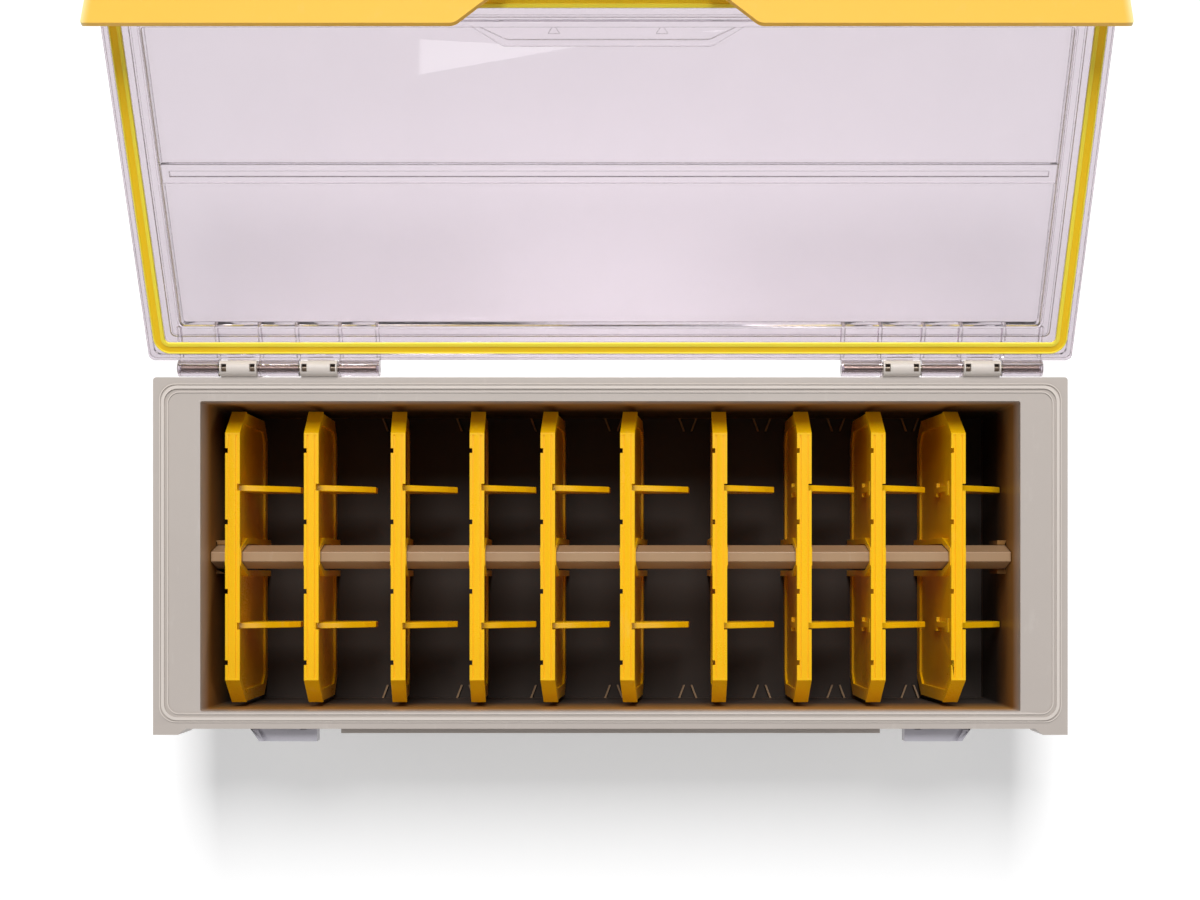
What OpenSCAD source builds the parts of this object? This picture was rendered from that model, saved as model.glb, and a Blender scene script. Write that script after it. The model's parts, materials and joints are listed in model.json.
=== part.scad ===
// Long lure box: a deep grey base, a row of tall yellow dividers standing over a centre rail,
// a clear gasketed lid on two pinned hinges, and a full-width latch bar along the lid's front.
// +X runs along the box, -Y is the front and +Z is up. The origin is the middle of the underside.
// The lid, gasket, pins of the latch and latch bar are drawn closed and then swung open.

/* [Base] */
// Length of the base over its rim
base_w = 445; // [440:1:450]
// Depth of the base over its rim
base_d = 171; // [168:1:176]
// Height of the base, from the underside to the top of the sealing bead
base_h = 98; // [94:1:108]
// Thickness of the tub's walls
wall = 2.6; // [2.2:0.1:3]
// Thickness of the floor
floor_t = 3; // [2.5:0.1:4]
// Ledge between the rim's edge and the opening, at each end
ledge_end = 23; // [20:0.5:26]
// Ledge along the front
ledge_front = 8.4; // [7.5:0.1:9.5]
// Ledge along the back
ledge_back = 11.6; // [10:0.1:13]
// Radius of the opening's corners
cavity_r = 1; // [1:0.5:4]
// Depth of the skirt that hangs from the rim
skirt_h = 26; // [24:1:30]
// Thickness of the skirt and of the rim plate
skirt_t = 2.4; // [2:0.1:2.8]
// Radius of the rim's outer corners
rim_r = 1.5; // [1:0.5:3]
// Spacing of the gussets under the rim
gusset_pitch = 37; // [30:1:60]
// Thickness of a gusset
gusset_t = 1.8; // [1.4:0.1:2.4]
// Depth of the groove round the underside
underside_groove_d = 1; // [0.6:0.1:1.4]
// Width of that groove
underside_groove_w = 3; // [2:0.1:4]
// Distance of that groove in from the tub's inner walls
underside_groove_in = 8; // [6:0.5:12]

/* [Rim beads] */
// Height of the sealing bead above the ledge
bead_h = 0.8; // [0.5:0.1:1]
// Middle of the broad sealing bead, in from the rim's edge
bead_in = 4.85; // [4.6:0.05:5.2]
// Width of the broad sealing bead
bead_w = 1.5; // [1.2:0.1:1.8]
// Radius of the beads' corners
bead_r = 8; // [5:0.5:10]
// Width of the thin beads on either side of it
thin_bead_w = 0.5; // [0.4:0.1:0.7]
// Middle of the inner thin bead, in from the rim's edge
thin_bead_in = 7.25; // [7:0.05:7.6]

/* [Front fittings] */
// How far the corner guards stand out from the rim
guard_out = 3; // [2:0.1:3.4]
// Length of a corner guard along the front
guard_w = 16; // [12:0.5:20]
// From the base's end to the end of the front lip
lip_end = 90.5; // [86:0.5:112]
// How far the lip stands out
lip_out = 2.7; // [2:0.1:3.2]
// Thickness of the lip
lip_t = 3; // [2:0.1:4]
// Depth of the lip's top below the bead
lip_drop = 7; // [4:0.5:9]
// From the base's end to the outer end of each latch catch, at the skirt
catch_end = 44.7; // [42:0.1:48]
// Length of a latch catch along the skirt
catch_w = 33.3; // [30:0.1:36]
// How much the outer end slants in towards the front
catch_slant = 4.9; // [3:0.1:6]
// How far a catch stands out from the skirt
catch_out = 7; // [6:0.1:7.4]
// Depth of a catch's underside below the bead
catch_drop = 18; // [17:0.5:20]
// Height of a catch
catch_h = 8; // [6:0.5:10]

/* [Floor ribs] */
// Spacing of the two ribs of a pair at the wall
rib_gap = 9.4; // [8:0.1:11]
// Length of a rib, out from the wall
rib_len = 7; // [5:0.5:9]
// How far a rib slants over its length
rib_slant = 2.7; // [1:0.1:3.4]
// Thickness of a rib
rib_t = 1; // [0.8:0.1:1.4]
// Height of a rib
rib_h = 2.4; // [1.5:0.1:3]

/* [Rail] */
// Width of the rail
rail_w = 11.8; // [11:0.1:13]
// Width of its flat top
rail_top_w = 4.8; // [4:0.1:5.5]
// Height of each sloping flank
rail_flank_h = 13; // [11:0.5:14]
// Height of its upright sides
rail_side_h = 4; // [3:0.5:6]
// Depth of its top below the bead
rail_drop = 20; // [18:0.5:24]
// Length of the cradles at its ends
cradle_len = 4.5; // [4:0.1:5]
// Thickness of the cradle's walls
cradle_t = 2.2; // [1.8:0.1:2.6]

/* [Dividers] */
// Number of dividers
divider_count = 10; // [4:1:10]
// Top of the first divider, in from the left wall
divider_first = 12.3; // [12:0.1:13]
// Top of the last divider, in from the right wall
divider_last = 26.7; // [26.5:0.1:30]
// Play of a divider at each end, between the walls
divider_play = 2.3; // [2:0.1:4]
// Depth of a divider's top below the bead
divider_drop = 15; // [14:0.5:18]
// Thickness of a divider's web
web_t = 2.2; // [1.8:0.1:2.6]
// Thickness of its border
border_t = 4.4; // [4:0.1:4.8]
// Width of its border
border_w = 6; // [5:0.5:7]
// Width of the bead along its top
top_bead_w = 7.2; // [6.4:0.1:7.6]
// Height of the bead along its top
top_bead_h = 3.2; // [2.6:0.1:4]
// Length of the top corners' chamfer
corner_y = 12; // [10:0.5:14]
// Height of the top corners' chamfer
corner_z = 16; // [13:0.5:18]
// Length and height of the lower corners' chamfer
foot_chamfer = 9; // [6:0.5:11]
// Thickness of the collar round the rail's slot
collar_t = 8; // [7:0.1:8.4]
// Width of the collar's walls
collar_w = 3; // [2.4:0.1:3.6]
// Place of the inner hook holes, either side of the middle
hook_inner_y = 17.2; // [15:0.1:20]
// Place of the outer hook holes, either side of the middle
hook_outer_y = 52.5; // [49:0.1:55]
// Width of a hook hole
hook_w = 1.6; // [1.2:0.1:2]
// Height of a hook hole
hook_h = 2.2; // [1.6:0.1:2.6]

/* [Fins] */
// Place of a fin, either side of the divider's middle
fin_y = 34.4; // [32:0.2:37]
// Thickness of a fin
fin_t = 3; // [2.4:0.1:3.4]
// How far a fin reaches out from its divider's middle
fin_reach = 28.8; // [24:0.2:28.8]
// Height of a fin's root above the floor side of the divider
fin_low = 39; // [36:0.5:42]
// Height of a fin where it meets the divider
fin_root_h = 33; // [30:0.5:34]
// Drop of a fin's upper edge from root to tip
fin_fall = 21; // [16:0.5:23]
// Width of the clip head on the far side of the divider
fin_head_w = 7.2; // [6:0.1:8]
// Thickness of the clip head
fin_head_t = 1.8; // [1.4:0.1:2.2]

/* [Hinges] */
// Distance of the hinge axis behind the base's back edge
hinge_out = 4.3; // [4.2:0.05:4.8]
// Depth of the hinge axis below the bead
hinge_drop = 1; // [0.6:0.1:1.4]
// Radius of the hinge barrels
barrel_r = 3.9; // [3.6:0.05:4]
// Radius of the hinge pins
pin_r = 1.5; // [1.2:0.05:1.8]
// From the base's end to the middle of the outermost lid knuckle
knuckle_end = 22.5; // [20:0.5:25]
// Spacing of the lid knuckles
lid_knuckle_pitch = 39; // [38:0.5:40]
// Length of a lid knuckle
lid_knuckle_w = 19.6; // [18:0.1:20]
// Number of lid knuckles on each side
lid_knuckles = 3; // [2:1:3]
// Angle the lid opens to
open_angle = 151; // [110:1:151]

/* [Lid] */
// How far the lid reaches past the base at each end
lid_over_side = 1.5; // [1:0.5:2]
// Distance from the hinge axis to the lid's back edge
lid_back = 3.85; // [3.7:0.05:4]
// How far the lid reaches past the base's front edge
lid_over_front = 2.55; // [2:0.05:2.8]
// Height of the lid's edge
lid_edge_h = 5; // [4.6:0.1:5.6]
// Radius of the lid's corners
lid_r = 3; // [2:0.5:5]
// Width of the clear rim outside the gasket
lid_rim_w = 3; // [2.6:0.1:3.2]
// Depth of the land behind the rim
land_in = 1.2; // [0.9:0.1:1.5]
// Width of the land inside the gasket
land_w = 8.5; // [7:0.1:9]
// Width of the step in the land, next to the gasket
land_step_w = 3.2; // [2.6:0.1:4]
// Width of the groove at that step
land_groove_w = 1; // [0.8:0.1:1.4]
// Depth of that groove
land_groove_d = 0.8; // [0.5:0.1:1.2]
// Radius of the panes' corners
pane_r = 1.5; // [1:0.5:4]
// Depth of the panes behind the land
pane_in = 6; // [4.5:0.1:6.5]
// Thickness of the panes
pane_t = 2.4; // [2:0.1:3]
// Thickness of the tray's side walls
tray_t = 2; // [1.8:0.1:2.6]
// Distance from the hinge axis to the middle of the cross rib
cross_rib_at = 94.3; // [88:0.1:98]
// Width of the cross rib
cross_rib_w = 8.9; // [7:0.1:10]
// Height of the cross rib
cross_rib_h = 3.2; // [2.4:0.1:4]
// Half length of the thumb pad at the land
pad_half_w = 62; // [56:0.5:66]
// Half length of the thumb pad at its far edge
pad_half_tip = 46.5; // [42:0.5:50]
// Distance from the lid's front edge to the thumb pad's far edge
pad_d = 25.5; // [23:0.1:28]
// Radius of the thumb pad's corners
pad_r = 6; // [3:0.5:8]

/* [Gasket] */
// Width of the gasket
gasket_w = 5.4; // [5.2:0.1:6]
// Height of the gasket
gasket_h = 2.9; // [2.7:0.05:3]
// Radius of the gasket's corners, at its middle
gasket_r = 5; // [4:0.5:8]
// Width of the thin lip along the gasket's outer edge
gasket_lip_w = 0.7; // [0.5:0.1:1]
// Width of the sunk track beside that lip
gasket_track_w = 2.9; // [2.4:0.1:3.2]
// Depth of that track
gasket_track_d = 0.5; // [0.3:0.1:0.8]

/* [Latch] */
// Play between the lid's ends and the latch bar's end returns
latch_play = 0.3; // [0.3:0.05:0.8]
// Height of the latch bar below its pivot
latch_h = 29.5; // [28.5:0.5:32]
// Height of the latch bar above its pivot
latch_top = 3.5; // [3:0.1:4]
// Thickness of the latch bar
latch_t = 2.2; // [1.8:0.1:2.6]
// Thickness of its end returns
return_t = 1.2; // [1:0.1:1.6]
// Depth of its end returns
return_d = 8; // [6:0.5:9]
// Radius of its corners at the free edge
latch_r = 1; // [0.5:0.5:2]
// Half length of the notch at the free edge
notch_half_w = 65.5; // [58:0.5:66]
// Half length of the notch at its top
notch_half_top = 44; // [38:0.5:48]
// Height of the notch
notch_h = 22; // [18:0.5:24]
// Radius of the notch's corners
notch_r = 5; // [2:0.5:6]
// Radius of the latch knuckles
ear_r = 2.6; // [2.4:0.05:2.7]
// Radius of the latch pins
latch_pin_r = 1.25; // [1.1:0.05:1.35]
// Height of the latch axis above the hinge axis, with the lid closed
latch_rise = 4.5; // [4.2:0.1:4.8]
// Length of a latch knuckle
latch_knuckle_w = 24; // [18:1:28]
// Length of each lid ear beside a latch knuckle
ear_w = 6; // [4:0.5:8]
// From the bar's end to the middle of its outermost knuckle
latch_knuckle_end = 22; // [20:0.5:24]
// Spacing of the latch knuckles
latch_knuckle_pitch = 62; // [58:0.5:62]
// Number of latch knuckles on each side
latch_knuckles = 3; // [2:1:3]
// How far the bar leans in from square, with the lid open
latch_lean = 36; // [30:1:38]
// How far the hooks stand in from the bar
hook_in = 4; // [3.6:0.1:4.4]
// Thickness of the hooks
hook_t = 2.6; // [2:0.1:3]

/* [Clearances] */
// Gap between parts that move past each other
gap = 0.3; // [0.25:0.05:0.4]
// Radial clearance of a pin that turns
run_gap = 0.05; // [0.02:0.01:0.08]
// Radial clearance of a pin where it is held
held_gap = 0.02; // [0.01:0.01:0.03]
// Play between the rail and its cradles
rail_gap = 0.3; // [0.2:0.05:0.4]
// Play between the rail and the dividers' slots
slot_play = 0.8; // [0.75:0.05:1]
// Gap under a divider's foot
foot_gap = 0.15; // [0.1:0.05:0.3]
// Play round a fin's necks
neck_gap = 0.1; // [0.05:0.05:0.15]

/* [Hidden] */
$fn = 48;
eps = 0.01;
reach = 500;

// Leans of the dividers in degrees, and how far each top stands off the even spacing,
// as they have settled in use.
leans = [1.3, 2.3, 4.8, 2.3, -2.7, -4.7, -0.7, 0.8, 1.3, 3.8];
drifts = [0, -1, 2, 1, -4, -4.6, 1.2, 3, -0.4, -0.7];

shell_colour = "#b7a9a6";
catch_colour = "#cdccd2";
rail_colour = "#be9a78";
divider_colour = "#f6b111";
clear_colour = [0.93, 0.9, 0.94, 0.45];
gasket_colour = "#f0bb09";
latch_colour = "#feb83b";
steel_colour = "#8a8078";

// Opening of the base
cavity_w = base_w - 2 * ledge_end;
cavity_d = base_d - ledge_front - ledge_back;
cavity_y = (ledge_front - ledge_back) / 2;
ledge_z = base_h - bead_h;
front_y = -base_d / 2;
lip_half_w = base_w / 2 - lip_end;
catch_x1 = base_w / 2 - catch_end;
catch_x0 = catch_x1 - catch_w;
catch_z = base_h - catch_drop;

// Rail
rail_h = 2 * rail_flank_h + rail_side_h;
rail_top_z = base_h - rail_drop;

// Dividers: room for the rise of one that leans is kept over their tops
lean_room = 0.2;
divider_h = base_h - divider_drop - floor_t - foot_gap - lean_room;
divider_z = floor_t + foot_gap;
divider_len = cavity_d - 2 * divider_play;
divider_pitch = (cavity_w - divider_first - divider_last) / (divider_count - 1);
hook_y = [hook_inner_y, hook_outer_y];
hook_z = divider_h - top_bead_h - 2.4;
neck_h = 5;
neck_in = 2.5;

// Hinges: the base's knuckles fill the spaces between the lid's
hinge_y = base_d / 2 + hinge_out;
hinge_z = base_h - hinge_drop;
lid_knuckle_x = base_w / 2 - knuckle_end;
knuckle_gap = 0.8;
base_knuckle_w = lid_knuckle_pitch - lid_knuckle_w - 2 * knuckle_gap;
cheek_w = 2.8;
window_w = 2.6;
window_d = 3.8;
pin_in = 1.5;
pin_x0 = lid_knuckle_x - (lid_knuckles - 1) * lid_knuckle_pitch - lid_knuckle_w / 2 + pin_in;
pin_x1 = lid_knuckle_x + lid_knuckle_w / 2 - pin_in;

// Lid, closed: heights from the hinge axis
lid_bottom = hinge_drop + 0.2;
lid_w = base_w + 2 * lid_over_side;
lid_front = base_d + hinge_out + lid_over_front;
lid_y = hinge_y - (lid_back + lid_front) / 2;
lid_d = lid_front - lid_back;
land_z = lid_bottom + land_in;
edge_top_z = lid_bottom + lid_edge_h;
pane_z = land_z + pane_in;
lid_gusset_t = 1.6;
gasket_inset = lid_rim_w + gap / 2 + gasket_w / 2;
seat_z = lid_bottom + gap / 3 + gasket_h;
pane_inset = gasket_inset + gasket_w / 2 + land_w;
pad_at = lid_front - pad_d;

// Latch, closed: from the hinge axis
latch_w = lid_w + 2 * (return_t + latch_play);
latch_knuckle_x = [for (k = [latch_knuckles - 1 : -1 : 0])
    latch_w / 2 - latch_knuckle_end - k * latch_knuckle_pitch];
latch_from = lid_front + ear_r + gap;
plate_in = ear_r + 2 * gap;
hook_x0 = catch_x0 + 2;
hook_x1 = catch_x1 - catch_slant - 3;
hook_top = latch_rise + hinge_z - catch_z + gap;

divider_ids = [for (k = [1 : divider_count]) str(k < 10 ? "0" : "", k)];

// ---- shared shapes ----

module rounded_rect(w, d, r) {
    square([w - 2 * r, d], center = true);
    square([w, d - 2 * r], center = true);
    for (sx = [-1, 1], sy = [-1, 1])
        translate([sx * (w / 2 - r), sy * (d / 2 - r)]) circle(r = r);
}

module rounded_plate(w, d, r, z0, z1) {
    translate([0, 0, z0]) linear_extrude(height = z1 - z0) rounded_rect(w, d, r);
}

// A band of the given width, whose outer edge lies inset from a w by d outline
module band(w, d, r, inset, width, z0, z1) {
    difference() {
        rounded_plate(w - 2 * inset, d - 2 * inset, r, z0, z1);
        rounded_plate(w - 2 * (inset + width), d - 2 * (inset + width), max(r - width, 0.5),
                      z0 - eps, z1 + eps);
    }
}

// A block given by its low and high corners
module block(lo, hi) {
    translate(lo) cube(hi - lo);
}

// A shape drawn in Y and Z, extruded along X from x0 to x1
module along_x(x0, x1) {
    translate([x0, 0, 0]) rotate([90, 0, 90]) linear_extrude(height = x1 - x0) children();
}

module rod_x(x0, x1, r) {
    translate([x0, 0, 0]) rotate([0, 90, 0]) cylinder(h = x1 - x0, r = r);
}

module both_sides() {
    children();
    mirror([1, 0, 0]) children();
}

// What rounding takes off a corner at p, whose two edges leave it at angles a and b
module corner_off(p, a, b, r) {
    half = (b - a) / 2;
    middle = p + r / sin(half) * [cos(a + half), sin(a + half)];
    along = r / tan(half);
    difference() {
        polygon([p - eps * [cos(a + half), sin(a + half)], p + along * [cos(a), sin(a)], middle,
                 p + along * [cos(b), sin(b)]]);
        translate(middle) circle(r = r);
    }
}

// Octagonal rail outline, with its top at height zero, grown by g
module rail_outline(g = 0) {
    top = rail_top_w / 2 + g / 2;
    side = rail_w / 2 + g;
    polygon([[top, g], [side, -rail_flank_h], [side, -rail_flank_h - rail_side_h], [top, -rail_h - g],
             [-top, -rail_h - g], [-side, -rail_flank_h - rail_side_h], [-side, -rail_flank_h],
             [-top, g]]);
}

// ---- base ----

module tub() {
    rounded_plate(cavity_w + 2 * wall, cavity_d + 2 * wall, cavity_r + wall, 0, ledge_z);
}

module rim() {
    rounded_plate(base_w, base_d, rim_r, ledge_z - skirt_t, ledge_z);
    band(base_w, base_d, rim_r, 0, skirt_t, base_h - skirt_h, ledge_z);
}

module rim_beads() {
    low = ledge_z - eps;
    thin_top = base_h - bead_h / 3;
    band(base_w, base_d, bead_r, bead_in - bead_w / 2, bead_w, low, base_h);
    band(base_w, base_d, bead_r, bead_in - bead_w / 2 - 2 * thin_bead_w, thin_bead_w, low, thin_top);
    band(base_w, base_d, bead_r - 2, thin_bead_in - thin_bead_w / 2, thin_bead_w, low, thin_top);
}

module gussets() {
    low = base_h - skirt_h + 3;
    high = ledge_z - skirt_t / 2;
    end_count = floor((base_d / 2 - 15) / gusset_pitch);
    side_count = floor((cavity_w / 2 - 10) / gusset_pitch);
    end_x = cavity_w / 2 + (ledge_end + wall) / 2 - skirt_t / 2;
    for (k = [-end_count : end_count], s = [-1, 1])
        translate([s * end_x, k * gusset_pitch, (low + high) / 2])
            cube([ledge_end - wall, gusset_t, high - low], center = true);
    for (k = [-side_count : side_count]) {
        x = k * gusset_pitch - gusset_t / 2;
        block([x, front_y + skirt_t / 2, low], [x + gusset_t, front_y + ledge_front - wall / 2, high]);
        block([x, base_d / 2 - ledge_back + wall / 2, low],
              [x + gusset_t, base_d / 2 - skirt_t / 2, high]);
    }
}

module corner_guards() {
    both_sides() translate([0, 0, base_h - skirt_h]) linear_extrude(height = skirt_h - bead_h)
        polygon([[base_w / 2, front_y + 1], [base_w / 2, front_y - guard_out],
                 [base_w / 2 - guard_w * 0.75, front_y - guard_out], [base_w / 2 - guard_w, front_y],
                 [base_w / 2 - guard_w, front_y + 1]]);
}

module front_lip() {
    block([-lip_half_w, front_y - lip_out, base_h - lip_drop - lip_t],
          [lip_half_w, front_y + 1, base_h - lip_drop]);
}

// Grey knuckles: a square-topped block with a window over the pin near each end,
// a web down the back of the skirt, and a heel that the open lid leans on.
module base_knuckle() {
    rim_back = base_d / 2 - hinge_y - 1;
    web_drop = 16;
    heel_out = 8;
    translate([-base_knuckle_w / 2, 0, 0]) {
        rod_x(0, base_knuckle_w, barrel_r);
        along_x(0, base_knuckle_w)
            polygon([[rim_back, ledge_z - hinge_z], [-barrel_r / 2, ledge_z - hinge_z], [0, -barrel_r],
                     [rim_back, -web_drop]]);
    }
    intersection() {
        translate([-base_knuckle_w / 2 + cheek_w, 0, 0]) along_x(0, base_knuckle_w - 2 * cheek_w)
            polygon([[rim_back, -2], [heel_out, -2], [heel_out, -5], [rim_back, -web_drop - 3]]);
        rotate([-open_angle, 0, 0]) block([-reach, -lid_back + 0.1, -reach], [reach, reach, reach]);
    }
}

module base_knuckle_cuts() {
    for (s = [-1, 1]) {
        x = s * (base_knuckle_w / 2 - cheek_w / 2 - 0.6);
        block([x - window_w / 2, -window_d / 2, -0.2], [x + window_w / 2, window_d / 2, barrel_r + 1]);
    }
}

module at_base_knuckles() {
    both_sides() for (k = [0 : lid_knuckles - 2])
        translate([lid_knuckle_x - (k + 0.5) * lid_knuckle_pitch, hinge_y, hinge_z]) children();
}

// A pair of ribs stands behind each bay's middle
function rib_x(k) = (k - (divider_count - 2) / 2) * divider_pitch;

module floor_rib(side, s) {
    x_wall = s * rib_gap / 2;
    x_tip = s * (rib_gap / 2 - rib_slant);
    y_wall = side * (cavity_d / 2 + 0.2);
    y_tip = side * (cavity_d / 2 - rib_len);
    linear_extrude(height = rib_h)
        polygon([[x_wall, y_wall], [x_wall + rib_t, y_wall], [x_tip + rib_t, y_tip], [x_tip, y_tip]]);
}

module rail_cradles() {
    both_sides() translate([cavity_w / 2 - cradle_len, cavity_y, 0]) difference() {
        block([0, -rail_w / 2 - cradle_t - rail_gap, rail_top_z - rail_h - cradle_t - 1],
              [cradle_len + 0.2, rail_w / 2 + cradle_t + rail_gap, rail_top_z - rail_flank_h]);
        translate([0, 0, rail_top_z]) along_x(-1, cradle_len - eps) rail_outline(rail_gap);
    }
}

module base_shell() {
    color(shell_colour) {
        difference() {
            union() {
                tub();
                rim();
                rim_beads();
                gussets();
                corner_guards();
                front_lip();
                at_base_knuckles() base_knuckle();
            }
            translate([0, cavity_y, 0])
                rounded_plate(cavity_w, cavity_d, cavity_r, floor_t, base_h + 1);
            translate([0, cavity_y, 0])
                band(cavity_w, cavity_d, cavity_r, underside_groove_in, underside_groove_w, -1,
                     underside_groove_d);
            at_base_knuckles() base_knuckle_cuts();
            translate([0, hinge_y, hinge_z]) rod_x(-reach, reach, pin_r + held_gap);
        }
        for (k = [1 : divider_count - 2], side = [-1, 1], s = [-1, 1])
            translate([rib_x(k), cavity_y, floor_t - eps]) floor_rib(side, s);
        rail_cradles();
    }
}

module latch_catch() {
    color(catch_colour) translate([0, front_y, catch_z]) difference() {
        linear_extrude(height = catch_h)
            polygon([[catch_x0, 0], [catch_x1, 0], [catch_x1 - catch_slant, -catch_out],
                     [catch_x0, -catch_out]]);
        // slanted groove beside the outer end
        translate([0, 0, catch_h - 1.2]) linear_extrude(height = 2)
            polygon([[catch_x1 - 5.4, 0.1], [catch_x1 - 3.4, 0.1],
                     [catch_x1 - catch_slant - 3.2, -catch_out - 1],
                     [catch_x1 - catch_slant - 6, -catch_out - 1]]);
        // slots beside the skirt
        for (x = [catch_x0 + 5, catch_x1 - 4])
            block([x, -1.2, catch_h - 2], [x + 3, 0.1, catch_h + 1]);
    }
}

module latch_catch_left() { mirror([1, 0, 0]) latch_catch(); }

module latch_catch_right() { latch_catch(); }

module center_rail() {
    color(rail_colour) translate([0, cavity_y, rail_top_z])
        along_x(-cavity_w / 2 + gap, cavity_w / 2 - gap) rail_outline();
}

module hinge_pin() {
    color(steel_colour) translate([0, hinge_y, hinge_z]) rod_x(pin_x0, pin_x1, pin_r);
}

module hinge_pin_left() { mirror([1, 0, 0]) hinge_pin(); }

module hinge_pin_right() { hinge_pin(); }

// ---- dividers ----

// A chamfered outline of the divider, drawn in Y and Z, inset by t
function leg(a, b, t) = a - t * (1 + (a - sqrt(a * a + b * b)) / b);

module divider_outline(t = 0) {
    y = divider_len / 2 - t;
    top = divider_h - t;
    cy = leg(corner_y, corner_z, t);
    cz = leg(corner_z, corner_y, t);
    f = leg(foot_chamfer, foot_chamfer, t);
    polygon([[y, top - cz], [y - cy, top], [-y + cy, top], [-y, top - cz],
             [-y, t + f], [-y + f, t], [y - f, t], [y, t + f]]);
}

// Slot for the rail, open at the bottom, grown by g
module slot_outline(g) {
    top = rail_top_z - divider_z;
    translate([0, top]) rail_outline(g);
    translate([-rail_w / 2 - g, -corner_y]) square([rail_w + 2 * g, top - rail_flank_h + corner_y]);
}

module divider_body() {
    difference() {
        union() {
            along_x(-web_t / 2, web_t / 2) divider_outline();
            along_x(-border_t / 2, border_t / 2) difference() {
                divider_outline();
                divider_outline(border_w);
            }
            along_x(-top_bead_w / 2, top_bead_w / 2) difference() {
                divider_outline();
                divider_outline(top_bead_h);
                translate([-divider_len, -reach])
                    square([2 * divider_len, reach + divider_h - corner_z - 2]);
            }
            along_x(-collar_t / 2, collar_t / 2) intersection() {
                slot_outline(slot_play + collar_w);
                translate([-divider_len, 0]) square([2 * divider_len, divider_h]);
            }
            for (s = [-1, 1], y = hook_y) hook_bumps(s * y);
        }
        along_x(-collar_t, collar_t) slot_outline(slot_play);
        // two grooves along the top bead
        for (x = [-top_bead_w / 4, top_bead_w / 4])
            translate([x, 0, divider_h]) cube([0.8, divider_len - 2 * corner_y - 2, 1], center = true);
        for (s = [-1, 1], y = hook_y) hook_cuts(s * y);
        for (s = [-1, 1]) fin_cuts(s * fin_y);
    }
}

module hook_bumps(y) {
    for (dy = [-1, 1])
        translate([0, y + dy * (hook_w / 2 + 1.4), hook_z]) rotate([0, 90, 0])
            cylinder(h = border_t + 1.6, r = 0.9, center = true, $fn = 24);
}

module hook_cuts(y) {
    block([-collar_t, y - hook_w / 2, hook_z - hook_h / 2],
          [collar_t, y + hook_w / 2, hook_z + hook_h / 2]);
    block([-collar_t, y - 1.2, divider_h - top_bead_h - 1],
          [-top_bead_w / 2 + 1.3, y + 1.2, divider_h + 1]);
}

module fin_cuts(y) {
    half = fin_t / 2 + neck_gap;
    for (z = [fin_low + neck_in, fin_low + fin_root_h - neck_in - neck_h])
        block([-collar_t, y - half, z - neck_gap], [collar_t, y + half, z + neck_h + neck_gap]);
    block([top_bead_w / 2 - 1.5, y - 1.7, divider_h - top_bead_h - 1],
          [collar_t, y + 1.7, divider_h + 1]);
}

module fin() {
    root = web_t / 2;
    top = fin_low + fin_root_h;
    translate([0, fin_t / 2, 0]) rotate([90, 0, 0]) linear_extrude(height = fin_t)
        polygon([[root, fin_low], [fin_reach - 3, fin_low], [fin_reach, fin_low + 3.5],
                 [fin_reach, top - fin_fall], [fin_reach - 5, top - fin_fall + 5], [root, top]]);
    for (z = [fin_low + neck_in, top - neck_in - neck_h]) {
        block([-root - fin_head_t / 2, -fin_t / 2, z], [root + 1, fin_t / 2, z + neck_h]);
        block([-root - fin_head_t, -fin_head_w / 2, z], [-root, fin_head_w / 2, z + neck_h]);
    }
    block([-root - fin_head_t, -fin_t / 2, fin_low + neck_in], [-root, fin_t / 2, top - neck_in]);
}

// Puts a piece drawn on a divider where divider k stands. It leans about the middle of its foot,
// and rises by what the collar's lower edge would dip.
module at_divider(k) {
    top_x = -cavity_w / 2 + divider_first + (k - 1) * divider_pitch + drifts[k - 1];
    lean = leans[k - 1];
    translate([top_x - divider_h * tan(lean), cavity_y, divider_z + collar_t / 2 * sin(abs(lean))])
        rotate([0, lean, 0]) children();
}

module divider(k) {
    color(divider_colour) at_divider(k) divider_body();
}

module divider_fin(k, side) {
    color(divider_colour) at_divider(k) translate([0, side * fin_y, 0]) fin();
}

// ---- lid ----

// Swings what is drawn closed, about the hinge axis, to where the lid stands open
module opened() {
    translate([0, hinge_y, hinge_z]) rotate([-open_angle, 0, 0]) children();
}

// Moves a shape drawn round the lid's own middle to the hinge axis
module on_lid() {
    translate([0, lid_y - hinge_y, 0]) children();
}

module lid_edges() {
    tray_inset = pane_inset - tray_t;
    on_lid() {
        rounded_plate(lid_w, lid_d, lid_r, lid_bottom, edge_top_z);
        rounded_plate(lid_w - 2 * tray_inset, lid_d - 2 * tray_inset, pane_r + tray_t,
                      edge_top_z - eps, pane_z + pane_t);
    }
}

module lid_hollows() {
    on_lid() {
        rounded_plate(lid_w - 2 * lid_rim_w, lid_d - 2 * lid_rim_w, lid_r, lid_bottom - 1, land_z);
        band(lid_w, lid_d, gasket_r + gasket_w / 2 + gap / 2, gasket_inset - gasket_w / 2 - gap / 2,
             gasket_w + gap, lid_bottom - 1, seat_z);
        band(lid_w, lid_d, pane_r + land_groove_w, gasket_inset + gasket_w / 2 + land_step_w,
             land_groove_w, land_z - 1, land_z + land_groove_d);
        rounded_plate(lid_w - 2 * pane_inset, lid_d - 2 * pane_inset, pane_r, lid_bottom - 1, pane_z);
    }
}

module cross_rib() {
    half = lid_w / 2 - pane_inset + 0.5;
    difference() {
        block([-half, -cross_rib_at - cross_rib_w / 2, pane_z - cross_rib_h],
              [half, -cross_rib_at + cross_rib_w / 2, pane_z + 0.5]);
        block([-half + 4, -cross_rib_at - 1.3, pane_z - cross_rib_h - 1],
              [half - 4, -cross_rib_at + 1.3, pane_z - cross_rib_h + 1]);
    }
}

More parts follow.
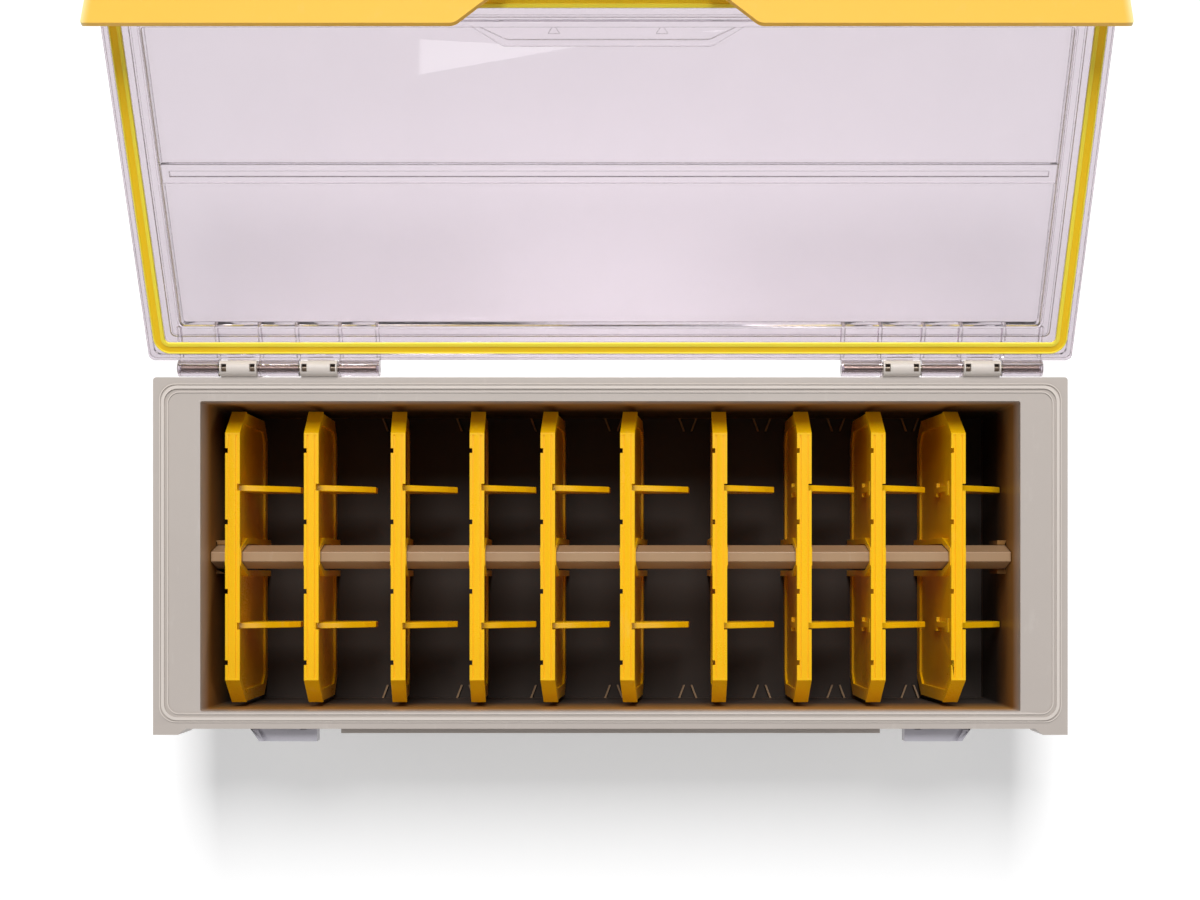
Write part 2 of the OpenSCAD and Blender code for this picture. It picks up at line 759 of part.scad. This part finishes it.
// The pad's outline, inset by t, with its far corners rounded
module pad_outline(t) {
    y0 = -lid_front + pane_inset - 1;
    y1 = -pad_at - t;
    tip = pad_half_tip - t / 2;
    slope = atan2(y1 - y0, pad_half_w - t - tip);
    difference() {
        polygon([[-pad_half_w + t, y0], [pad_half_w - t, y0], [tip, y1], [-tip, y1]]);
        both_sides() corner_off([tip, y1], 180, 360 - slope, pad_r);
    }
}

module thumb_pad() {
    difference() {
        translate([0, 0, land_z + 0.6]) linear_extrude(height = pane_in) pad_outline(0);
        translate([0, 0, land_z - 1]) linear_extrude(height = 2.4) pad_outline(3);
    }
    // two plain triangles pointing at the edge
    for (s = [-1, 1]) translate([s * 24, -pad_at - 5.5, land_z + 1.2]) linear_extrude(height = 1)
        polygon([[-2.6, 0], [2.6, 0], [0, -4]]);
}

module lid_knuckle() {
    y_edge = -lid_back - 1;
    rod_x(-lid_knuckle_w / 2, lid_knuckle_w / 2, barrel_r);
    along_x(-lid_knuckle_w / 2, lid_knuckle_w / 2)
        polygon([[y_edge, lid_bottom], [0, 0], [0, barrel_r - eps], [y_edge, edge_top_z]]);
    // gussets from the knuckle's ends to the tray's wall
    wall_y = -lid_back - pane_inset + tray_t;
    for (s = [-1, 1])
        translate([s * (lid_knuckle_w / 2 - lid_gusset_t / 2), 0, 0])
            along_x(-lid_gusset_t / 2, lid_gusset_t / 2)
                polygon([[-lid_back, edge_top_z - eps], [-lid_back, edge_top_z + 1.6],
                         [wall_y, pane_z + pane_t - 1], [wall_y - 0.5, edge_top_z - eps]]);
}

module at_lid_knuckles() {
    both_sides() for (k = [0 : lid_knuckles - 1])
        translate([lid_knuckle_x - k * lid_knuckle_pitch, 0, 0]) children();
}

// Room in the lid's back edge for the base's knuckles
module knuckle_room() {
    both_sides() for (k = [0 : lid_knuckles - 2]) {
        x = lid_knuckle_x - (k + 0.5) * lid_knuckle_pitch;
        rod_x(x - base_knuckle_w / 2 - gap, x + base_knuckle_w / 2 + gap, barrel_r + gap);
    }
}

module at_latch() {
    translate([0, -latch_from, latch_rise]) children();
}

module latch_ears() {
    at_latch() both_sides() for (x = latch_knuckle_x, s = [-1, 1]) {
        mid = x + s * (latch_knuckle_w / 2 + ear_w / 2 + gap);
        rod_x(mid - ear_w / 2, mid + ear_w / 2, ear_r);
        block([mid - ear_w / 2, 0, -ear_r], [mid + ear_w / 2, ear_r + gap + 1, ear_r]);
    }
}

module lid_panel() {
    color(clear_colour) opened() difference() {
        union() {
            difference() {
                lid_edges();
                lid_hollows();
            }
            cross_rib();
            thumb_pad();
            at_lid_knuckles() lid_knuckle();
            latch_ears();
        }
        knuckle_room();
        rod_x(-reach, reach, pin_r + run_gap);
        at_latch() rod_x(-reach, reach, latch_pin_r + run_gap);
    }
}

module lid_gasket() {
    color(gasket_colour) opened() on_lid() difference() {
        band(lid_w, lid_d, gasket_r + gasket_w / 2, gasket_inset - gasket_w / 2, gasket_w,
             seat_z - gasket_h, seat_z);
        band(lid_w, lid_d, gasket_r + gasket_w / 2 - gasket_lip_w,
             gasket_inset - gasket_w / 2 + gasket_lip_w, gasket_track_w,
             seat_z - gasket_h - 1, seat_z - gasket_h + gasket_track_d);
    }
}

// ---- latch ----

// Leans the latch in from square, with the lid open
module leaning() {
    opened() at_latch() rotate([latch_lean, 0, 0]) children();
}

module latch_pins() {
    color(steel_colour) leaning() both_sides() for (x = latch_knuckle_x)
        rod_x(x - latch_knuckle_w / 2 - ear_w, x + latch_knuckle_w / 2 + ear_w, latch_pin_r);
}

// The notch for a thumb or fingers, with its upper corners rounded
module latch_notch(slope) {
    half_out = notch_half_w + 1 / tan(slope);
    difference() {
        polygon([[-half_out, -latch_h - 1], [half_out, -latch_h - 1],
                 [notch_half_top, notch_h - latch_h], [-notch_half_top, notch_h - latch_h]]);
        both_sides() corner_off([notch_half_top, notch_h - latch_h], 180, 360 - slope, notch_r);
    }
    both_sides() corner_off([notch_half_w, -latch_h], 0, 180 - slope, notch_r);
}

module latch_outline() {
    difference() {
        translate([0, (latch_top - latch_h) / 2]) rounded_rect(latch_w, latch_top + latch_h, latch_r);
        latch_notch(atan2(notch_h, notch_half_w - notch_half_top));
    }
}

// An end return, drawn in Y and Z, which tapers away towards the free edge
module return_outline() {
    low = latch_r - latch_h;
    polygon([[-plate_in - latch_t / 2, low], [-plate_in, low], [return_d - plate_in, low + return_d],
             [return_d - plate_in, latch_top - latch_r], [-plate_in - latch_t / 2, latch_top - latch_r]]);
}

module latch_bar() {
    color(latch_colour) leaning() difference() {
        union() {
            translate([0, -plate_in, 0]) rotate([90, 0, 0])
                linear_extrude(height = latch_t) latch_outline();
            both_sides() along_x(latch_w / 2 - return_t, latch_w / 2) return_outline();
            // hooks that go under the catches
            both_sides() block([hook_x0, -plate_in - latch_t / 2, -hook_top - hook_t],
                               [hook_x1, -plate_in + hook_in, -hook_top]);
            both_sides() for (x = latch_knuckle_x) {
                rod_x(x - latch_knuckle_w / 2, x + latch_knuckle_w / 2, ear_r);
                block([x - latch_knuckle_w / 2, -plate_in - latch_t / 2, -ear_r],
                      [x + latch_knuckle_w / 2, 0, ear_r]);
            }
        }
        rod_x(-reach, reach, latch_pin_r + run_gap);
    }
}

base_shell();
latch_catch_left();
latch_catch_right();
center_rail();
hinge_pin_left();
hinge_pin_right();
lid_panel();
lid_gasket();
latch_pins();
latch_bar();
for (k = [1 : divider_count]) {
    divider(k);
    divider_fin(k, -1);
    divider_fin(k, 1);
}
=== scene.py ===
import json
import math

import bmesh
import bpy
from mathutils import Matrix, Vector


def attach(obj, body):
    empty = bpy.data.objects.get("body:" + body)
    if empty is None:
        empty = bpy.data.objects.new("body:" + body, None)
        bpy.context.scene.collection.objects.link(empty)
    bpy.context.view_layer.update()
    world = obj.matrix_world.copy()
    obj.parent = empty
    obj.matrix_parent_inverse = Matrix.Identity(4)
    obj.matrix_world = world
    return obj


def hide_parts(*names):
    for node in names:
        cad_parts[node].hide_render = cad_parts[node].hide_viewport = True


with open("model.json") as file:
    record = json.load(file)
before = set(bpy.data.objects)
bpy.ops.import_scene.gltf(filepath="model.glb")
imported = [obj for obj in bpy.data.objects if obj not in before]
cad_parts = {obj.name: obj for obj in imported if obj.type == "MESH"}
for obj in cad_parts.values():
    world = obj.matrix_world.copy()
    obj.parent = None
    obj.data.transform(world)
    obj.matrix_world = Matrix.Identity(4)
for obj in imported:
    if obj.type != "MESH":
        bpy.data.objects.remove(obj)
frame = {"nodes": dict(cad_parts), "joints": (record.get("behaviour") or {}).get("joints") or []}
nodes = frame["nodes"]
joints = {joint["name"]: joint for joint in frame["joints"]}


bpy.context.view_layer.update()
print("frame loaded,", len(nodes), "nodes")

mm = 0.001
nodeGrid = {"columns": 8, "across": 190, "down": 260}  # how the shader nodes are laid out


class Wire:
    # one output socket, so that shader maths can be written as plain expressions
    def __init__(self, graph, socket):
        self.graph = graph
        self.socket = socket

    def maths(self, operation, *values):
        return self.graph.node("ShaderNodeMath", {"operation": operation}, dict(enumerate(values)))

    def __add__(self, other):
        return self.maths("ADD", self, other)

    def __radd__(self, other):
        return self.maths("ADD", other, self)

    def __sub__(self, other):
        return self.maths("SUBTRACT", self, other)

    def __rsub__(self, other):
        return self.maths("SUBTRACT", other, self)

    def __mul__(self, other):
        return self.maths("MULTIPLY", self, other)

    def __rmul__(self, other):
        return self.maths("MULTIPLY", other, self)

    def clamped(self):
        return self.maths("MINIMUM", self.maths("MAXIMUM", self, 0.0), 1.0)


class Graph:
    # the node tree of one material, or of the world
    def __init__(self, name, owner=None):
        self.material = owner or bpy.data.materials.new(name)
        self.material.use_nodes = True
        self.tree = self.material.node_tree
        self.tree.nodes.clear()
        self.count = 0

    def node(self, kind, settings=None, inputs=None, output=0):
        made = self.tree.nodes.new(kind)
        row, column = divmod(self.count, nodeGrid["columns"])
        made.location = (column * nodeGrid["across"], -row * nodeGrid["down"])
        self.count += 1
        for key, value in (settings or {}).items():
            setattr(made, key, value)
        for key, value in (inputs or {}).items():
            self.feed(made.inputs[key], value)
        return Wire(self, made.outputs[output]) if len(made.outputs) else None

    def port(self, wire, name):
        # another output of the node that a wire comes from
        return Wire(self, wire.socket.node.outputs[name])

    def seen(self, glossy=1.0):
        # 1 for what the camera or clear plastic shows, and a share of it for reflections
        paths = self.node("ShaderNodeLightPath")
        camera, mirrored, through = [self.port(paths, f"Is {kind} Ray")
                                     for kind in ("Camera", "Glossy", "Transmission")]
        return (camera + through + mirrored * glossy).clamped()

    def feed(self, socket, value):
        if isinstance(value, Wire):
            self.tree.links.new(value.socket, socket)
        elif isinstance(value, (tuple, list)) and socket.type == "RGBA":
            socket.default_value = (*value, 1.0) if len(value) == 3 else value
        else:
            socket.default_value = value

    def place(self):
        # object space in metres: every CAD node and piece shares the one frame
        return self.node("ShaderNodeTexCoord", output="Object")

    def axes(self):
        # the three coordinates apart; the wire itself is X
        return self.node("ShaderNodeSeparateXYZ", None, {"Vector": self.place()})

    def noise(self, scale, detail, rough=0.55, stretch=(1, 1, 1)):
        point = self.place()
        if stretch != (1, 1, 1):
            point = self.node("ShaderNodeMapping", None, {"Vector": point, "Scale": stretch})
        return self.node("ShaderNodeTexNoise", None,
                         {"Vector": point, "Scale": scale, "Detail": detail, "Roughness": rough})

    def nearEdge(self, width, gain):
        # grows from 0 to 1 where a face runs up to an edge
        facing = self.node("ShaderNodeNewGeometry", output="Normal")
        rounded = self.node("ShaderNodeBevel", {"samples": 4}, {"Radius": width})
        alike = self.node("ShaderNodeVectorMath", {"operation": "DOT_PRODUCT"},
                          {0: facing, 1: rounded}, output="Value")
        return ((1 - alike) * gain).clamped()

    def mixColour(self, factor, first, second):
        return self.node("ShaderNodeMix", {"data_type": "RGBA"}, {0: factor, 6: first, 7: second}, output=2)

    def bump(self, height, strength, distance):
        return self.node("ShaderNodeBump", None,
                         {"Height": height, "Strength": strength, "Distance": distance})

    def principled(self, inputs):
        return self.node("ShaderNodeBsdfPrincipled", None, inputs)

    def mixShaders(self, factor, first, second):
        return self.node("ShaderNodeMixShader", None, {0: factor, 1: first, 2: second})

    def finish(self, surface, kind="Material"):
        self.node(f"ShaderNodeOutput{kind}", None, {"Surface": surface})
        return self.material


# The photograph looks straight down. nadir is the pixel right under the camera.
view = {"frameWide": 1200, "frameHigh": 900, "nadir": (635, 574), "mmPerPixel": 0.486,
        "aboveRim": 0.834, "rimAboveHinge": 1 * mm, "rightOfMiddle": 0.012,
        "behindMiddle": -0.0102, "sensor": 36.0}


def makeCamera():
    rimZ = joints["lid_hinge"]["pos_m"][2] + view["rimAboveHinge"]
    data = bpy.data.cameras.new("straightDown")
    data.sensor_width = view["sensor"]
    frameAtRim = view["frameWide"] * view["mmPerPixel"] * mm
    data.lens = view["sensor"] * view["aboveRim"] / frameAtRim
    data.shift_x = (view["frameWide"] / 2 - view["nadir"][0]) / view["frameWide"]
    data.shift_y = (view["nadir"][1] - view["frameHigh"] / 2) / view["frameWide"]
    camera = bpy.data.objects.new("straightDown", data)
    camera.location = (view["rightOfMiddle"], view["behindMiddle"], rimZ + view["aboveRim"])
    bpy.context.scene.collection.objects.link(camera)
    bpy.context.scene.camera = camera


makeCamera()
print("camera placed")

stage = {"floorSize": 6.0, "floorColour": (0.85, 0.85, 0.85), "floorLift": 0.27,
         "worldColour": (0.97, 0.97, 1.0), "worldStrength": 0.13, "worldSeen": 0.85, "worldMirrored": 0.2,
         "lampsAimAt": (0, 0, 0.05)}
panels = {"backPanel": {"from": (-0.02, 2.2, 3.3), "size": (1.1, 2.2), "power": 130.0},
          "frontPanel": {"from": (0.0, -1.3, 0.62), "size": (1.2, 0.35), "power": 4.0},
          "leftPanel": {"from": (-1.1, -0.1, 0.95), "size": (0.7, 0.5), "power": 2.4},
          "rightPanel": {"from": (1.1, -0.1, 0.95), "size": (0.7, 0.5), "power": 2.4}}


def makeFloor():
    half = stage["floorSize"] / 2
    corners = [(-half, -half, 0), (half, -half, 0), (half, half, 0), (-half, half, 0)]
    mesh = bpy.data.meshes.new("studioFloor")
    mesh.from_pydata(corners, [], [(0, 1, 2, 3)])
    floor = bpy.data.objects.new("studioFloor", mesh)
    bpy.context.scene.collection.objects.link(floor)
    graph = Graph("paperSweep")
    paper = graph.node("ShaderNodeBsdfDiffuse", None, {"Color": stage["floorColour"]})
    glow = graph.node("ShaderNodeEmission", None,
                      {"Color": (1, 1, 1), "Strength": graph.seen() * stage["floorLift"]})
    mesh.materials.append(graph.finish(graph.node("ShaderNodeAddShader", None, {0: paper, 1: glow})))


def makeLamp(name):
    panel = panels[name]
    data = bpy.data.lights.new(name, "AREA")
    data.shape = "RECTANGLE"
    data.size, data.size_y = panel["size"]
    data.energy = panel["power"]
    lamp = bpy.data.objects.new(name, data)
    lamp.location = panel["from"]
    aim = Vector(stage["lampsAimAt"]) - Vector(panel["from"])
    lamp.rotation_euler = aim.to_track_quat("-Z", "Y").to_euler()
    bpy.context.scene.collection.objects.link(lamp)


def makeWorld():
    world = bpy.data.worlds.new("studioAir")
    bpy.context.scene.world = world
    graph = Graph(None, world)
    strength = graph.seen(stage["worldMirrored"]) * stage["worldSeen"] + stage["worldStrength"]
    air = graph.node("ShaderNodeBackground", None, {"Color": stage["worldColour"], "Strength": strength})
    graph.finish(air, "World")
    bpy.context.scene.view_settings.view_transform = "Standard"


makeFloor()
for panelName in panels:
    makeLamp(panelName)
makeWorld()
print("stage set")

# colour and shade alternate in clouds, and scuff is how far rubbed spots pale
plastics = {
    "shellPlastic": {"colour": (0.53, 0.475, 0.435), "shade": (0.47, 0.418, 0.38), "rough": 0.40,
                     "grain": 2600, "grainDepth": 0.05, "specular": 0.45, "scatter": 0.0, "scuff": 0.10},
    "catchPlastic": {"colour": (0.60, 0.585, 0.64), "shade": (0.54, 0.52, 0.58), "rough": 0.30,
                     "grain": 1800, "grainDepth": 0.03, "specular": 0.5, "scatter": 0.0, "scuff": 0.05},
    "railPlastic": {"colour": (0.42, 0.27, 0.15), "shade": (0.36, 0.22, 0.12), "rough": 0.38,
                    "grain": 1500, "grainDepth": 0.04, "specular": 0.5, "scatter": 0.0, "scuff": 0.12},
    "dividerPlastic": {"colour": (0.99, 0.56, 0.002), "shade": (0.96, 0.505, 0.0015), "rough": 0.30,
                       "grain": 1700, "grainDepth": 0.035, "specular": 0.45, "scatter": 0.18, "scuff": 0.04},
    "latchPlastic": {"colour": (0.96, 0.56, 0.075), "shade": (0.94, 0.535, 0.065), "rough": 0.40,
                     "grain": 2200, "grainDepth": 0.05, "specular": 0.45, "scatter": 0.05, "scuff": 0.05},
    "gasketRubber": {"colour": (0.97, 0.80, 0.06), "shade": (0.95, 0.76, 0.05), "rough": 0.48,
                     "grain": 1500, "grainDepth": 0.05, "specular": 0.4, "scatter": 0.10, "scuff": 0.04},
    # painted shade: the gasket's sunk track is darker and more orange
    "gasketTrack": {"colour": (0.95, 0.62, 0.010), "shade": (0.92, 0.57, 0.008), "rough": 0.55,
                    "grain": 1500, "grainDepth": 0.05, "specular": 0.35, "scatter": 0.10, "scuff": 0.02},
}
wear = {"cloudScale": 18, "cloudDetail": 4, "grainDetail": 2, "grainBreak": 0.6, "rubScale": 140,
        "rubDetail": 5, "rubBreak": 0.65, "rubStretch": (1, 0.25, 1), "rubFrom": 0.6, "rubGain": 6,
        "rubColour": (0.9, 0.86, 0.8), "cloudRough": 0.16, "grainRough": 0.12, "rubRough": 0.12,
        "grainBump": 0.8, "cloudBump": 0.6, "bumpDistance": 0.0004, "indexOfRefraction": 1.49,
        "scatterRadius": (1.0, 0.55, 0.12), "scatterScale": 0.003}
# painted light and shade inside the tub: painted amber light from the yellow dividers high on its walls,
# painted near black shade further down, and a less dark painted shade on the floor ribs
tub = {"halfLength": 0.1999, "halfDepth": 0.0759, "middle": -0.0016, "wallSharpness": 3000,
       "shadeFrom": 0.0955, "shadeOver": 0.016, "shadeMost": 0.92, "amber": (0.46, 0.20, 0.016),
       "deepFrom": 0.090, "deepOver": 0.050, "deep": (0.014, 0.007, 0.004),
       "ribFrom": 0.0049, "ribTo": 0.0058, "ribSharpness": 5000, "rib": (0.30, 0.19, 0.10), "specular": 0.06}
# painted highlight: the crests of the sealing beads are painted pale
beadCrestHighlight = {"from": 0.09735, "over": 0.0004, "most": 0.8, "pale": (0.72, 0.655, 0.60)}
# painted highlight: the latch bar's end returns are painted paler
latchEndHighlight = {"from": 0.2215, "over": 0.0035, "pale": (0.97, 0.78, 0.34)}


def paintedShadeMask(graph):
    # mask of the painted shade: grows from the opening down over the tub's inner walls and floor
    across = graph.axes()
    sideways = across.maths("ABSOLUTE", graph.port(across, "Y") - tub["middle"])
    inEnds = ((tub["halfLength"] - across.maths("ABSOLUTE", across)) * tub["wallSharpness"]).clamped()
    inSides = ((tub["halfDepth"] - sideways) * tub["wallSharpness"]).clamped()
    depth = ((tub["shadeFrom"] - graph.port(across, "Z")) * (1 / tub["shadeOver"])).clamped()
    return inEnds * inSides * depth * tub["shadeMost"]


def shellColour(graph, plain, inside):
    # painted highlights on the crests of the sealing beads, then painted amber light and painted shade over
    # the tub's inside
    height = graph.port(graph.axes(), "Z")
    crest = ((height - beadCrestHighlight["from"]) * (1 / beadCrestHighlight["over"])).clamped()
    crested = graph.mixColour(crest * beadCrestHighlight["most"], plain, beadCrestHighlight["pale"])
    overRibFoot = ((height - tub["ribFrom"]) * tub["ribSharpness"]).clamped()
    underRibTop = ((tub["ribTo"] - height) * tub["ribSharpness"]).clamped()
    depth = ((tub["deepFrom"] - height) * (1 / tub["deepOver"])).clamped()
    paintedWallShade = graph.mixColour(depth, tub["amber"], tub["deep"])
    return graph.mixColour(inside, crested, graph.mixColour(overRibFoot * underRibTop, paintedWallShade, tub["rib"]))


def latchColour(graph, plain):
    # painted light: the thin end returns are painted paler, for the light that passes through them and the
    # highlight on their rounded corners
    along = graph.axes()
    past = along.maths("ABSOLUTE", along) - latchEndHighlight["from"]
    end = (past * (1 / latchEndHighlight["over"])).clamped()
    return graph.mixColour(end * end, plain, latchEndHighlight["pale"])


def makePlastic(name):
    look = plastics[name]
    graph = Graph(name)
    clouds = graph.noise(wear["cloudScale"], wear["cloudDetail"])
    grain = graph.noise(look["grain"], wear["grainDetail"], wear["grainBreak"])
    rubs = graph.noise(wear["rubScale"], wear["rubDetail"], wear["rubBreak"], wear["rubStretch"])
    rub = ((rubs - wear["rubFrom"]) * wear["rubGain"]).clamped()
    colour = graph.mixColour(clouds, look["colour"], look["shade"])
    colour = graph.mixColour(rub * look["scuff"], colour, wear["rubColour"])
    # painted highlights on the bead crests, and painted light and shade inside the tub
    if name == "shellPlastic":
        inside = paintedShadeMask(graph)
        colour = shellColour(graph, colour, inside)
    # painted highlight on the latch bar's end returns
    if name == "latchPlastic":
        colour = latchColour(graph, colour)
    rough = (look["rough"] + (clouds - 0.5) * wear["cloudRough"] + (grain - 0.5) * wear["grainRough"]
             + rub * wear["rubRough"]).clamped()
    relief = grain * wear["grainBump"] + clouds * wear["cloudBump"]
    settings = {"Base Color": colour, "Roughness": rough, "IOR": wear["indexOfRefraction"],
                "Normal": graph.bump(relief, look["grainDepth"], wear["bumpDistance"]),
                "Specular IOR Level": look["specular"]}
    if look["scatter"]:
        settings.update({"Subsurface Weight": look["scatter"], "Subsurface Radius": wear["scatterRadius"],
                         "Subsurface Scale": wear["scatterScale"]})
    shader = graph.principled(settings)
    if name == "shellPlastic":
        # next to no sheen inside the tub
        dull = graph.principled({**settings, "Specular IOR Level": tub["specular"]})
        shader = graph.mixShaders(inside, shader, dull)
    return graph.finish(shader)


clears = {
    "clearPlastic": {"colour": (0.655, 0.595, 0.645), "shade": (0.63, 0.57, 0.62), "rough": 0.02,
                     "shadow": (0.97, 0.96, 0.97)},
    # painted shade: the clear lid's rim faces are darker
    "clearRim": {"colour": (0.40, 0.35, 0.39), "shade": (0.34, 0.30, 0.34), "rough": 0.12,
                 "shadow": (0.92, 0.90, 0.92)},
    # painted reflection: near black on the clear lid's rounded edges
    "clearEdge": {"colour": (0.035, 0.022, 0.018), "shade": (0.02, 0.013, 0.011), "rough": 0.30,
                  "shadow": (0.85, 0.82, 0.82)},
}
# haze and hairline scratches, and painted dark lines along the edges of the clear plastic, standing in for
# the reflections it shows there
hazeScratchesAndDarkLines = {"hazeScale": 30, "hazeDetail": 4, "hazeRough": 0.03, "hazeBump": 0.4, "hairScale": 420,
            "hairDetail": 3, "hairBreak": 0.6, "hairStretch": (0.08, 1, 1), "hairFrom": 0.66, "hairGain": 9,
            "hairRough": 0.08, "hairBump": 0.2, "bumpStrength": 0.01, "bumpDistance": 0.0004,
            "lineWidth": 0.00055, "lineGain": 8, "lineColour": (0.05, 0.035, 0.03)}


def makeClear(name):
    look = clears[name]
    graph = Graph(name)
    haze = graph.noise(hazeScratchesAndDarkLines["hazeScale"], hazeScratchesAndDarkLines["hazeDetail"])
    hairs = graph.noise(hazeScratchesAndDarkLines["hairScale"], hazeScratchesAndDarkLines["hairDetail"], hazeScratchesAndDarkLines["hairBreak"],
                        hazeScratchesAndDarkLines["hairStretch"])
    hair = ((hairs - hazeScratchesAndDarkLines["hairFrom"]) * hazeScratchesAndDarkLines["hairGain"]).clamped()
    # painted reflection: dark lines mixed into the colour along the edges
    line = graph.nearEdge(hazeScratchesAndDarkLines["lineWidth"], hazeScratchesAndDarkLines["lineGain"])
    colour = graph.mixColour(haze, look["colour"], look["shade"])
    colour = graph.mixColour(line, colour, hazeScratchesAndDarkLines["lineColour"])
    rough = (look["rough"] + haze * hazeScratchesAndDarkLines["hazeRough"] + hair * hazeScratchesAndDarkLines["hairRough"]).clamped()
    relief = haze * hazeScratchesAndDarkLines["hazeBump"] + hair * hazeScratchesAndDarkLines["hairBump"]
    normal = graph.bump(relief, hazeScratchesAndDarkLines["bumpStrength"], hazeScratchesAndDarkLines["bumpDistance"])
    clear = graph.principled({"Base Color": colour, "Roughness": rough, "Normal": normal,
                              "IOR": wear["indexOfRefraction"], "Transmission Weight": 1.0})
    # light goes through it, so its shadow stays pale
    through = graph.node("ShaderNodeBsdfTransparent", None, {"Color": look["shadow"]})
    shadowRay = graph.port(graph.node("ShaderNodeLightPath"), "Is Shadow Ray")
    return graph.finish(graph.mixShaders(shadowRay, clear, through))


pins = {"bright": (0.30, 0.25, 0.20), "dark": (0.16, 0.12, 0.09), "drawnScale": 900, "drawnDetail": 3,
        "drawnBreak": 0.6, "drawnStretch": (0.02, 1, 1), "darkScale": 260, "darkDetail": 4, "rough": 0.24,
        "drawnRough": 0.16, "darkRough": 0.12, "bumpStrength": 0.08, "bumpDistance": 0.0002}


def makeSteel():
    # drawn wire, with lines along it and some tarnish
    graph = Graph("pinSteel")
    drawn = graph.noise(pins["drawnScale"], pins["drawnDetail"], pins["drawnBreak"], pins["drawnStretch"])
    tarnish = graph.noise(pins["darkScale"], pins["darkDetail"])
    colour = graph.mixColour(tarnish, pins["bright"], pins["dark"])
    rough = (pins["rough"] + drawn * pins["drawnRough"] + tarnish * pins["darkRough"]).clamped()
    normal = graph.bump(drawn, pins["bumpStrength"], pins["bumpDistance"])
    return graph.finish(graph.principled({"Base Color": colour, "Metallic": 1.0, "Roughness": rough,
                                          "Normal": normal}))


materials = {name: makePlastic(name) for name in plastics}
materials.update({name: makeClear(name) for name in clears})
materials["pinSteel"] = makeSteel()
print("materials made")

moulding = {"hardAngle": math.radians(28), "flatAngle": math.radians(0.6), "weld": 1e-6, "facesDown": -0.9,
            "sameLevel": 0.3 * mm}


def link(name, mesh, material):
    piece = bpy.data.objects.new(name, mesh)
    bpy.context.scene.collection.objects.link(piece)
    mesh.materials.clear()
    mesh.materials.append(materials[material])
    return piece


def roundEdges(piece, width, segments):
    bevel = piece.modifiers.new("edgeRound", "BEVEL")
    bevel.width = width
    bevel.segments = segments
    bevel.limit_method = "ANGLE"
    bevel.angle_limit = moulding["hardAngle"]
    bevel.use_clamp_overlap = True
    bevel.harden_normals = True
    bevel.miter_outer = "MITER_SHARP"
    return bevel


def softened(node, name, look):
    # a moulded piece: the node's own flat faces and curves, with every hard edge rounded
    mesh = nodes[node].data.copy()
    mesh.name = name
    work = bmesh.new()
    work.from_mesh(mesh)
    bmesh.ops.remove_doubles(work, verts=work.verts, dist=moulding["weld"])
    bmesh.ops.dissolve_limit(work, angle_limit=moulding["flatAngle"], verts=work.verts, edges=work.edges,
                             delimit={"NORMAL"})
    for face in work.faces:
        face.smooth = True
    work.to_mesh(mesh)
    work.free()
    mesh.set_sharp_from_angle(angle=moulding["hardAngle"])
    piece = link(name, mesh, look["finish"])
    bevel = roundEdges(piece, look["round"], look["segments"])
    # painted reflection: the rounded edges get the near black material
    if "edgeFinish" in look:
        mesh.materials.append(materials[look["edgeFinish"]])
        bevel.material = 1
    return piece


def dressUnder(piece, material, lowest):
    # gives the lowest faces of the closed lid, or else the ones a step above them, another, darker material:
    # painted shade on the lid's rim, and in the gasket's sunk track
    turn = Matrix.Rotation(-math.radians(joints["lid_hinge"]["range_deg"][0]), 3, "X")
    mesh = piece.data
    mesh.materials.append(materials[material])
    under = [face for face in mesh.polygons if (turn @ face.normal).z < moulding["facesDown"]]
    heights = {face.index: (turn @ face.center).z for face in under}
    floor = min(heights.values())
    for face in under:
        if (heights[face.index] < floor + moulding["sameLevel"]) == lowest:
            face.material_index = len(mesh.materials) - 1


def onBody(piece, body, slot, *replaced):
    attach(piece, body)
    if replaced:
        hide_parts(*replaced)
    return piece


def wirePins(node):
    # the CAD's own pins, in steel
    mesh = nodes[node].data
    mesh.materials.clear()
    mesh.materials.append(materials["pinSteel"])


mouldedBase = {"finish": "shellPlastic", "round": 0.35 * mm, "segments": 2}
latchCatch = {"finish": "catchPlastic", "round": 0.4 * mm, "segments": 2}
centreRail = {"finish": "railPlastic", "round": 0.5 * mm, "segments": 2}

onBody(softened("base_shell", "mouldedBase", mouldedBase), "base", "shell", "base_shell")
for side in ("left", "right"):
    catch = f"latch_catch_{side}"
    onBody(softened(catch, f"latchCatch_{side}", latchCatch), "base", "catch", catch)
    wirePins(f"hinge_pin_{side}")
wirePins("latch_pins")
onBody(softened("center_rail", "centreRail", centreRail), "base", "rail", "center_rail")
print("base pieces made")

dividerPlate = {"count": 10, "finish": "dividerPlastic", "round": 0.35 * mm, "segments": 2}
clipFin = {"finish": "dividerPlastic", "round": 0.35 * mm, "segments": 2}

for number in range(1, dividerPlate["count"] + 1):
    tag = f"{number:02d}"
    body = f"divider_{tag}"
    onBody(softened(body, f"dividerPlate_{tag}", dividerPlate), body, "divider", body)
    for side in ("front", "back"):
        node = f"fin_{tag}_{side}"
        onBody(softened(node, f"clipFin_{tag}_{side}", clipFin), body, "divider", node)
print("dividers made")

clearLid = {"finish": "clearPlastic", "edgeFinish": "clearEdge", "rimFinish": "clearRim", "round": 0.3 * mm,
            "segments": 2}
lidGasket = {"finish": "gasketRubber", "trackFinish": "gasketTrack", "round": 0.3 * mm, "segments": 2}
latchBar = {"finish": "latchPlastic", "round": 0.7 * mm, "segments": 3}

lid = onBody(softened("lid_panel", "clearLid", clearLid), "lid", "clear", "lid_panel")
# painted shade on the clear lid's rim faces
dressUnder(lid, clearLid["rimFinish"], True)
gasket = onBody(softened("lid_gasket", "lidGasket", lidGasket), "lid", "gasket", "lid_gasket")
# painted shade in the gasket's sunk track
dressUnder(gasket, lidGasket["trackFinish"], False)
onBody(softened("latch_bar", "latchBar", latchBar), "latch", "latch", "latch_bar")
print("lid and latch made")
